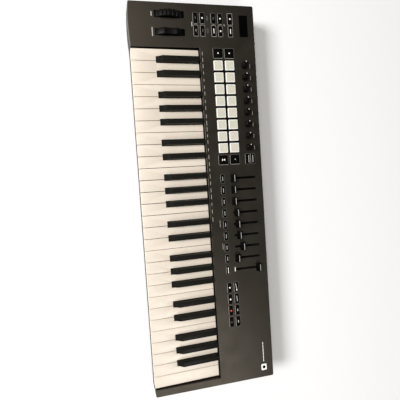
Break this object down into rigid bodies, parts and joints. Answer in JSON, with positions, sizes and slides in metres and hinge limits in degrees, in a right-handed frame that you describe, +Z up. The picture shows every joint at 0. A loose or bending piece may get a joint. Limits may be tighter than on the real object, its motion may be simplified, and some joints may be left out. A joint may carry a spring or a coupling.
{
  "type": "midi keyboard",
  "caption": "Desktop MIDI keyboard with full-size keys in octave combs, two thumb wheels, soft pads, rotary knobs, faders, button groups and a small display.",
  "frame": {"origin": "middle of the footprint on the surface that the feet stand on", "axes": "+X along the keys towards the high notes, +Y from the player's side to the back, +Z up"},
  "size_m": [0.789, 0.2579, 0.077],
  "materials": {
    "case_upper": "fine matte grain",
    "case_lower": "fine matte grain",
    "foot_rubber": "matte",
    "steel": "zinc plated",
    "inner_plastic": "plain moulded",
    "circuit_board": "solder mask",
    "contact_silicone": "soft",
    "felt": "wool felt",
    "component_metal": "stamped",
    "display_glass": "gloss black",
    "display_frame": "plain",
    "socket_plastic": "plain",
    "key_white": "satin gloss",
    "key_black": "satin",
    "wheel_rubber": "soft matte",
    "knob_plastic": "soft touch",
    "fader_plastic": "satin with a white line",
    "pad_silicone": "translucent matte",
    "button_rubber": "matte with printed marks"
  },
  "bodies": {
    "case": {"bottom_case": "case_lower", "top_panel": "case_upper", "rubber_feet": "foot_rubber", "case_screws": "steel", "keybed_chassis": "inner_plastic", "key_contact_board": "circuit_board", "key_contact_rubber": "contact_silicone", "key_springs": "steel", "key_felts": "felt", "wheel_bracket": "inner_plastic", "wheel_axle": "steel", "potentiometers": "component_metal", "fader_bodies": "component_metal", "display_window": "display_glass", "display_module": "display_frame", "panel_board": "circuit_board", "main_board": "circuit_board", "usb_socket": "component_metal", "pedal_socket": "socket_plastic", "midi_socket": "socket_plastic"},
    "naturals_cegb_1": {"naturals_cegb_1": "key_white"},
    "naturals_dfa_1": {"naturals_dfa_1": "key_white"},
    "sharps_1": {"sharps_1": "key_black"},
    "naturals_cegb_2": {"naturals_cegb_2": "key_white"},
    "naturals_dfa_2": {"naturals_dfa_2": "key_white"},
    "sharps_2": {"sharps_2": "key_black"},
    "naturals_cegb_3": {"naturals_cegb_3": "key_white"},
    "naturals_dfa_3": {"naturals_dfa_3": "key_white"},
    "sharps_3": {"sharps_3": "key_black"},
    "naturals_cegb_4": {"naturals_cegb_4": "key_white"},
    "naturals_dfa_4": {"naturals_dfa_4": "key_white"},
    "sharps_4": {"sharps_4": "key_black"},
    "natural_top_c": {"natural_top_c": "key_white"},
    "pitch_wheel": {"pitch_wheel": "wheel_rubber"},
    "mod_wheel": {"mod_wheel": "wheel_rubber"},
    "knob_1": {"knob_1": "knob_plastic"},
    "knob_2": {"knob_2": "knob_plastic"},
    "knob_3": {"knob_3": "knob_plastic"},
    "knob_4": {"knob_4": "knob_plastic"},
    "knob_5": {"knob_5": "knob_plastic"},
    "knob_6": {"knob_6": "knob_plastic"},
    "knob_7": {"knob_7": "knob_plastic"},
    "knob_8": {"knob_8": "knob_plastic"},
    "fader_cap_1": {"fader_cap_1": "fader_plastic"},
    "fader_cap_2": {"fader_cap_2": "fader_plastic"},
    "fader_cap_3": {"fader_cap_3": "fader_plastic"},
    "fader_cap_4": {"fader_cap_4": "fader_plastic"},
    "fader_cap_5": {"fader_cap_5": "fader_plastic"},
    "fader_cap_6": {"fader_cap_6": "fader_plastic"},
    "fader_cap_7": {"fader_cap_7": "fader_plastic"},
    "fader_cap_8": {"fader_cap_8": "fader_plastic"},
    "fader_cap_9": {"fader_cap_9": "fader_plastic"},
    "pads_front": {"pads_front": "pad_silicone"},
    "pads_back": {"pads_back": "pad_silicone"},
    "function_buttons": {"function_buttons": "button_rubber"},
    "scene_buttons": {"scene_buttons": "button_rubber"},
    "launch_buttons": {"launch_buttons": "button_rubber"},
    "device_buttons": {"device_buttons": "button_rubber"},
    "fader_buttons": {"fader_buttons": "button_rubber"},
    "transport_buttons": {"transport_buttons": "button_rubber"}
  },
  "joints": [
    {"name": "naturals_cegb_1_hinge", "type": "hinge", "parent": "case", "child": "naturals_cegb_1", "pos_m": [-0.22285, 0.03, 0.04425], "axis": [1, 0, 0], "range_deg": [0, 3.7], "stiffness_Nm_per_rad": 1.2, "springref_deg": -17.19},
    {"name": "naturals_dfa_1_hinge", "type": "hinge", "parent": "case", "child": "naturals_dfa_1", "pos_m": [-0.22285, 0.03, 0.04055], "axis": [1, 0, 0], "range_deg": [0, 3.7], "stiffness_Nm_per_rad": 0.9, "springref_deg": -17.19},
    {"name": "sharps_1_hinge", "type": "hinge", "parent": "case", "child": "sharps_1", "pos_m": [-0.22285, 0.03, 0.04805], "axis": [1, 0, 0], "range_deg": [0, 3.7], "stiffness_Nm_per_rad": 0.9, "springref_deg": -17.19},
    {"name": "naturals_cegb_2_hinge", "type": "hinge", "parent": "case", "child": "naturals_cegb_2", "pos_m": [-0.05835, 0.03, 0.04425], "axis": [1, 0, 0], "range_deg": [0, 3.7], "stiffness_Nm_per_rad": 1.2, "springref_deg": -17.19},
    {"name": "naturals_dfa_2_hinge", "type": "hinge", "parent": "case", "child": "naturals_dfa_2", "pos_m": [-0.05835, 0.03, 0.04055], "axis": [1, 0, 0], "range_deg": [0, 3.7], "stiffness_Nm_per_rad": 0.9, "springref_deg": -17.19},
    {"name": "sharps_2_hinge", "type": "hinge", "parent": "case", "child": "sharps_2", "pos_m": [-0.05835, 0.03, 0.04805], "axis": [1, 0, 0], "range_deg": [0, 3.7], "stiffness_Nm_per_rad": 0.9, "springref_deg": -17.19},
    {"name": "naturals_cegb_3_hinge", "type": "hinge", "parent": "case", "child": "naturals_cegb_3", "pos_m": [0.10615, 0.03, 0.04425], "axis": [1, 0, 0], "range_deg": [0, 3.7], "stiffness_Nm_per_rad": 1.2, "springref_deg": -17.19},
    {"name": "naturals_dfa_3_hinge", "type": "hinge", "parent": "case", "child": "naturals_dfa_3", "pos_m": [0.10615, 0.03, 0.04055], "axis": [1, 0, 0], "range_deg": [0, 3.7], "stiffness_Nm_per_rad": 0.9, "springref_deg": -17.19},
    {"name": "sharps_3_hinge", "type": "hinge", "parent": "case", "child": "sharps_3", "pos_m": [0.10615, 0.03, 0.04805], "axis": [1, 0, 0], "range_deg": [0, 3.7], "stiffness_Nm_per_rad": 0.9, "springref_deg": -17.19},
    {"name": "naturals_cegb_4_hinge", "type": "hinge", "parent": "case", "child": "naturals_cegb_4", "pos_m": [0.27065, 0.03, 0.04425], "axis": [1, 0, 0], "range_deg": [0, 3.7], "stiffness_Nm_per_rad": 1.2, "springref_deg": -17.19},
    {"name": "naturals_dfa_4_hinge", "type": "hinge", "parent": "case", "child": "naturals_dfa_4", "pos_m": [0.27065, 0.03, 0.04055], "axis": [1, 0, 0], "range_deg": [0, 3.7], "stiffness_Nm_per_rad": 0.9, "springref_deg": -17.19},
    {"name": "sharps_4_hinge", "type": "hinge", "parent": "case", "child": "sharps_4", "pos_m": [0.27065, 0.03, 0.04805], "axis": [1, 0, 0], "range_deg": [0, 3.7], "stiffness_Nm_per_rad": 0.9, "springref_deg": -17.19},
    {"name": "natural_top_c_hinge", "type": "hinge", "parent": "case", "child": "natural_top_c", "pos_m": [0.36465, 0.03, 0.04425], "axis": [1, 0, 0], "range_deg": [0, 3.7], "stiffness_Nm_per_rad": 0.3, "springref_deg": -17.19},
    {"name": "pitch_wheel_turn", "type": "hinge", "parent": "case", "child": "pitch_wheel", "pos_m": [-0.371, -0.048, 0.027], "axis": [-1, 0, 0], "range_deg": [-32, 32], "stiffness_Nm_per_rad": 0.06},
    {"name": "mod_wheel_turn", "type": "hinge", "parent": "case", "child": "mod_wheel", "pos_m": [-0.3364, -0.048, 0.027], "axis": [-1, 0, 0], "range_deg": [-30, 30]},
    {"name": "knob_1_turn", "type": "hinge", "parent": "case", "child": "knob_1", "pos_m": [-0.272, 0.102, 0.06095], "axis": [0, -0.0387, 0.9992], "range_deg": [-150, 150]},
    {"name": "knob_2_turn", "type": "hinge", "parent": "case", "child": "knob_2", "pos_m": [-0.2479, 0.102, 0.06095], "axis": [0, -0.0387, 0.9992], "range_deg": [-150, 150]},
    {"name": "knob_3_turn", "type": "hinge", "parent": "case", "child": "knob_3", "pos_m": [-0.2238, 0.102, 0.06095], "axis": [0, -0.0387, 0.9992], "range_deg": [-150, 150]},
    {"name": "knob_4_turn", "type": "hinge", "parent": "case", "child": "knob_4", "pos_m": [-0.1997, 0.102, 0.06095], "axis": [0, -0.0387, 0.9992], "range_deg": [-150, 150]},
    {"name": "knob_5_turn", "type": "hinge", "parent": "case", "child": "knob_5", "pos_m": [-0.1756, 0.102, 0.06095], "axis": [0, -0.0387, 0.9992], "range_deg": [-150, 150]},
    {"name": "knob_6_turn", "type": "hinge", "parent": "case", "child": "knob_6", "pos_m": [-0.1515, 0.102, 0.06095], "axis": [0, -0.0387, 0.9992], "range_deg": [-150, 150]},
    {"name": "knob_7_turn", "type": "hinge", "parent": "case", "child": "knob_7", "pos_m": [-0.1274, 0.102, 0.06095], "axis": [0, -0.0387, 0.9992], "range_deg": [-150, 150]},
    {"name": "knob_8_turn", "type": "hinge", "parent": "case", "child": "knob_8", "pos_m": [-0.1033, 0.102, 0.06095], "axis": [0, -0.0387, 0.9992], "range_deg": [-150, 150]},
    {"name": "fader_1_slide", "type": "slide", "parent": "case", "child": "fader_cap_1", "axis": [0, 0.9992, 0.0387], "range_m": [0, 0.045]},
    {"name": "fader_2_slide", "type": "slide", "parent": "case", "child": "fader_cap_2", "axis": [0, 0.9992, 0.0387], "range_m": [0, 0.045]},
    {"name": "fader_3_slide", "type": "slide", "parent": "case", "child": "fader_cap_3", "axis": [0, 0.9992, 0.0387], "range_m": [0, 0.045]},
    {"name": "fader_4_slide", "type": "slide", "parent": "case", "child": "fader_cap_4", "axis": [0, 0.9992, 0.0387], "range_m": [-0.0037, 0.0413]},
    {"name": "fader_5_slide", "type": "slide", "parent": "case", "child": "fader_cap_5", "axis": [0, 0.9992, 0.0387], "range_m": [-0.0046, 0.0404]},
    {"name": "fader_6_slide", "type": "slide", "parent": "case", "child": "fader_cap_6", "axis": [0, 0.9992, 0.0387], "range_m": [-0.0064, 0.0386]},
    {"name": "fader_7_slide", "type": "slide", "parent": "case", "child": "fader_cap_7", "axis": [0, 0.9992, 0.0387], "range_m": [-0.0124, 0.0326]},
    {"name": "fader_8_slide", "type": "slide", "parent": "case", "child": "fader_cap_8", "axis": [0, 0.9992, 0.0387], "range_m": [0, 0.045]},
    {"name": "fader_9_slide", "type": "slide", "parent": "case", "child": "fader_cap_9", "axis": [0, 0.9992, 0.0387], "range_m": [-0.045, 0]},
    {"name": "pads_front_press", "type": "slide", "parent": "case", "child": "pads_front", "axis": [0, 0.0387, -0.9992], "range_m": [0, 0.0008], "stiffness_N_per_m": 6000, "springref_m": -0.001},
    {"name": "pads_back_press", "type": "slide", "parent": "case", "child": "pads_back", "axis": [0, 0.0387, -0.9992], "range_m": [0, 0.0008], "stiffness_N_per_m": 6000, "springref_m": -0.001},
    {"name": "function_buttons_press", "type": "slide", "parent": "case", "child": "function_buttons", "axis": [0, 0.0387, -0.9992], "range_m": [0, 0.001], "stiffness_N_per_m": 3000, "springref_m": -0.001},
    {"name": "scene_buttons_press", "type": "slide", "parent": "case", "child": "scene_buttons", "axis": [0, 0.0387, -0.9992], "range_m": [0, 0.001], "stiffness_N_per_m": 1500, "springref_m": -0.001},
    {"name": "launch_buttons_press", "type": "slide", "parent": "case", "child": "launch_buttons", "axis": [0, 0.0387, -0.9992], "range_m": [0, 0.001], "stiffness_N_per_m": 1500, "springref_m": -0.001},
    {"name": "device_buttons_press", "type": "slide", "parent": "case", "child": "device_buttons", "axis": [0, 0.0387, -0.9992], "range_m": [0, 0.001], "stiffness_N_per_m": 1500, "springref_m": -0.001},
    {"name": "fader_buttons_press", "type": "slide", "parent": "case", "child": "fader_buttons", "axis": [0, 0.0387, -0.9992], "range_m": [0, 0.001], "stiffness_N_per_m": 2500, "springref_m": -0.001},
    {"name": "transport_buttons_press", "type": "slide", "parent": "case", "child": "transport_buttons", "axis": [0, 0.0387, -0.9992], "range_m": [0, 0.001], "stiffness_N_per_m": 2500, "springref_m": -0.001}
  ]
}
